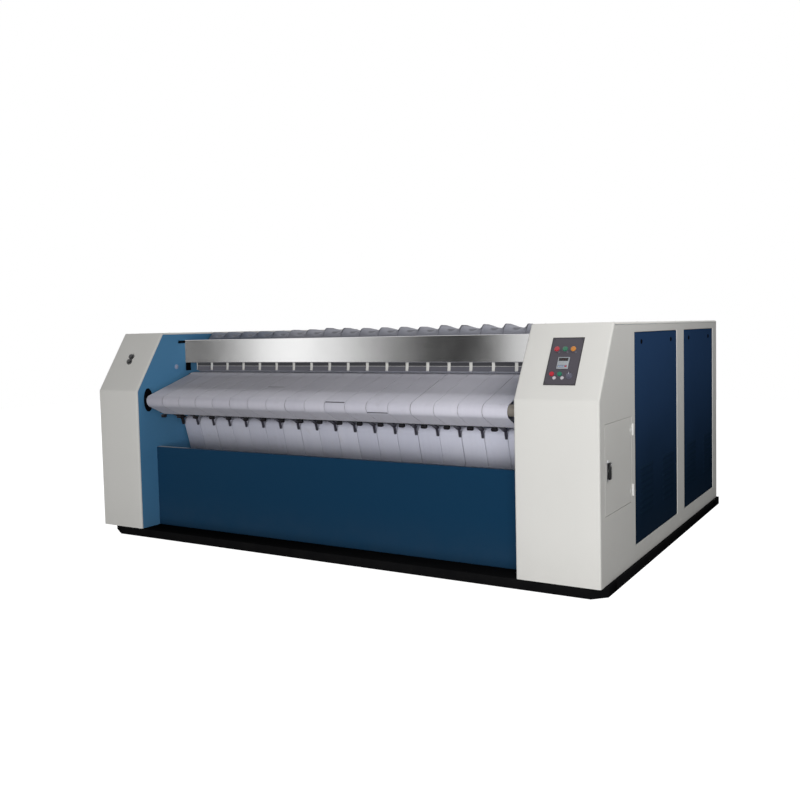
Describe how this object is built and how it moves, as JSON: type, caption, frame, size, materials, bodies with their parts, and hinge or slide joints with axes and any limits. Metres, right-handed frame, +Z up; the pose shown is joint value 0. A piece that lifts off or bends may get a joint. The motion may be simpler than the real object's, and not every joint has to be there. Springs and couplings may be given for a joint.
{
  "type": "flatwork ironer",
  "caption": "Roll-type flatwork ironer with heated drums, belt feed table, endless ironing belts, side cabinets with louvre panels and a control plate.",
  "frame": {"origin": "on the floor under the middle of the machine's bounding box", "axes": "+X to the right seen from the feed side, +Y from the feed side to the back, +Z up"},
  "size_m": [4.1823, 3.16, 1.6185],
  "materials": {
    "ivory_paint": "fine textured powder coat, warm light grey",
    "navy_paint": "satin navy powder coat",
    "panel_blue": "satin dark blue powder coat",
    "wall_blue": "satin steel-blue paint",
    "black_paint": "semi-matt black paint",
    "polished_steel": "polished and lightly brushed stainless steel",
    "grey_steel": "turned and ground steel",
    "zinc": "bright zinc plate",
    "cast_iron": "painted cast iron",
    "feed_cloth": "pale woven canvas belting",
    "ironing_cloth": "pale needle-felt ironing belting",
    "black_rubber": "black belt rubber",
    "black_plastic": "matt moulded black",
    "grey_plastic": "matt moulded grey",
    "red_plastic": "glossy red",
    "green_plastic": "glossy green",
    "amber_plastic": "glossy amber"
  },
  "bodies": {
    "machine": {"base_front_beam": "black_paint", "base_rear_beam": "black_paint", "base_left_rail": "black_paint", "base_right_rail": "black_paint", "base_cross_beam": "black_paint", "left_side_frame": "wall_blue", "right_side_frame": "wall_blue", "left_front_cover": "ivory_paint", "left_top_cover": "ivory_paint", "left_rear_cover": "ivory_paint", "left_side_cover": "ivory_paint", "left_front_louvre_panel": "navy_paint", "left_rear_louvre_panel": "navy_paint", "left_front_bearing": "cast_iron", "left_rear_bearing": "cast_iron", "left_nose_bearing": "black_plastic", "right_front_cover": "ivory_paint", "right_top_cover": "ivory_paint", "right_rear_cover": "ivory_paint", "right_side_cover": "ivory_paint", "right_front_louvre_panel": "navy_paint", "right_rear_louvre_panel": "navy_paint", "right_front_bearing": "cast_iron", "right_rear_bearing": "cast_iron", "right_nose_bearing": "black_plastic", "control_plate": "black_plastic", "red_lamp": "red_plastic", "green_lamp": "green_plastic", "amber_lamp": "amber_plastic", "temperature_controller": "grey_plastic", "door_hinge_upper": "zinc", "door_hinge_lower": "zinc", "front_panel": "panel_blue", "fascia_panel": "polished_steel", "rear_panel": "navy_paint", "tie_beam": "grey_steel", "feed_belts": "feed_cloth", "ironing_belts": "ironing_cloth", "stripper_comb": "black_paint", "drive_motor": "cast_iron", "drive_belt": "black_rubber", "electrical_plate": "zinc"},
    "door": {"electrical_door": "ivory_paint"},
    "latch": {"door_latch": "black_plastic"},
    "stop_button": {"stop_button": "red_plastic"},
    "start_button": {"start_button": "green_plastic"},
    "speed_knob": {"speed_knob": "grey_plastic"},
    "left_lower_button": {"left_lower_button": "black_plastic"},
    "left_upper_button": {"left_upper_button": "black_plastic"},
    "front_drum": {"front_drum": "polished_steel"},
    "rear_drum": {"rear_drum": "polished_steel"},
    "nose_roller": {"nose_roller": "grey_steel"},
    "feed_rear_roller": {"feed_rear_roller": "grey_steel"},
    "nip_roller": {"nip_roller": "grey_steel"},
    "top_front_roller": {"top_front_roller": "grey_steel"},
    "top_rear_roller": {"top_rear_roller": "grey_steel"},
    "lower_rear_roller": {"lower_rear_roller": "grey_steel"},
    "lower_front_roller": {"lower_front_roller": "grey_steel"},
    "outlet_roller": {"outlet_roller": "grey_steel"},
    "motor_pulley": {"motor_pulley": "grey_steel"}
  },
  "joints": [
    {"name": "door_swing", "type": "hinge", "parent": "machine", "child": "door", "pos_m": [2.07845, -0.958, 0.74], "axis": [0, 0, 1], "range_deg": [0, 110]},
    {"name": "latch_turn", "type": "hinge", "parent": "door", "child": "latch", "pos_m": [2.07115, -1.43, 0.734], "axis": [-1, 0, 0], "range_deg": [0, 90]},
    {"name": "stop_button_press", "type": "slide", "parent": "machine", "child": "stop_button", "axis": [0, 0.8386, -0.5448], "range_m": [0, 0.004], "stiffness_N_per_m": 400},
    {"name": "start_button_press", "type": "slide", "parent": "machine", "child": "start_button", "axis": [0, 0.8386, -0.5448], "range_m": [0, 0.004], "stiffness_N_per_m": 400},
    {"name": "left_lower_button_press", "type": "slide", "parent": "machine", "child": "left_lower_button", "axis": [0, 0.8386, -0.5448], "range_m": [0, 0.004], "stiffness_N_per_m": 400},
    {"name": "left_upper_button_press", "type": "slide", "parent": "machine", "child": "left_upper_button", "axis": [0, 0.8386, -0.5448], "range_m": [0, 0.004], "stiffness_N_per_m": 400},
    {"name": "speed_knob_turn", "type": "hinge", "parent": "machine", "child": "speed_knob", "pos_m": [1.86215, -1.49065, 1.29153], "axis": [0, -0.8386, 0.5448], "range_deg": [-135, 135]},
    {"name": "front_drum_spin", "type": "hinge", "parent": "machine", "child": "front_drum", "pos_m": [0, -0.54, 1], "axis": [1, 0, 0], "continuous": true},
    {"name": "rear_drum_spin", "type": "hinge", "parent": "machine", "child": "rear_drum", "pos_m": [0, 0.68, 1], "axis": [1, 0, 0], "continuous": true},
    {"name": "nose_roller_spin", "type": "hinge", "parent": "machine", "child": "nose_roller", "pos_m": [0, -1.465, 1.076], "axis": [1, 0, 0], "continuous": true},
    {"name": "feed_rear_roller_spin", "type": "hinge", "parent": "machine", "child": "feed_rear_roller", "pos_m": [0, -0.98, 1.232], "axis": [1, 0, 0], "continuous": true},
    {"name": "nip_roller_spin", "type": "hinge", "parent": "machine", "child": "nip_roller", "pos_m": [0, -0.86334, 1.31225], "axis": [1, 0, 0], "continuous": true},
    {"name": "top_front_roller_spin", "type": "hinge", "parent": "machine", "child": "top_front_roller", "pos_m": [0, -0.695, 1.495], "axis": [1, 0, 0], "continuous": true},
    {"name": "top_rear_roller_spin", "type": "hinge", "parent": "machine", "child": "top_rear_roller", "pos_m": [0, 1.27, 1.525], "axis": [1, 0, 0], "continuous": true},
    {"name": "lower_rear_roller_spin", "type": "hinge", "parent": "machine", "child": "lower_rear_roller", "pos_m": [0, 1.27, 0.35], "axis": [1, 0, 0], "continuous": true},
    {"name": "lower_front_roller_spin", "type": "hinge", "parent": "machine", "child": "lower_front_roller", "pos_m": [0, -0.89, 0.35], "axis": [1, 0, 0], "continuous": true},
    {"name": "outlet_roller_spin", "type": "hinge", "parent": "machine", "child": "outlet_roller", "pos_m": [0, -1.035, 0.862], "axis": [1, 0, 0], "continuous": true},
    {"name": "motor_pulley_spin", "type": "hinge", "parent": "machine", "child": "motor_pulley", "pos_m": [0, -0.06, 0.33], "axis": [1, 0, 0], "continuous": true}
  ],
  "couplings": [
    {"joint": "rear_drum_spin", "follows": "front_drum_spin", "ratio": 1},
    {"joint": "nose_roller_spin", "follows": "front_drum_spin", "ratio": 7.1429},
    {"joint": "feed_rear_roller_spin", "follows": "front_drum_spin", "ratio": 11.429},
    {"joint": "nip_roller_spin", "follows": "front_drum_spin", "ratio": -10},
    {"joint": "top_front_roller_spin", "follows": "front_drum_spin", "ratio": -4.4444},
    {"joint": "top_rear_roller_spin", "follows": "front_drum_spin", "ratio": -6.6667},
    {"joint": "lower_rear_roller_spin", "follows": "front_drum_spin", "ratio": -8.8889},
    {"joint": "lower_front_roller_spin", "follows": "front_drum_spin", "ratio": -8.8889},
    {"joint": "outlet_roller_spin", "follows": "front_drum_spin", "ratio": -8.8889},
    {"joint": "motor_pulley_spin", "follows": "front_drum_spin", "ratio": 2.6667}
  ]
}
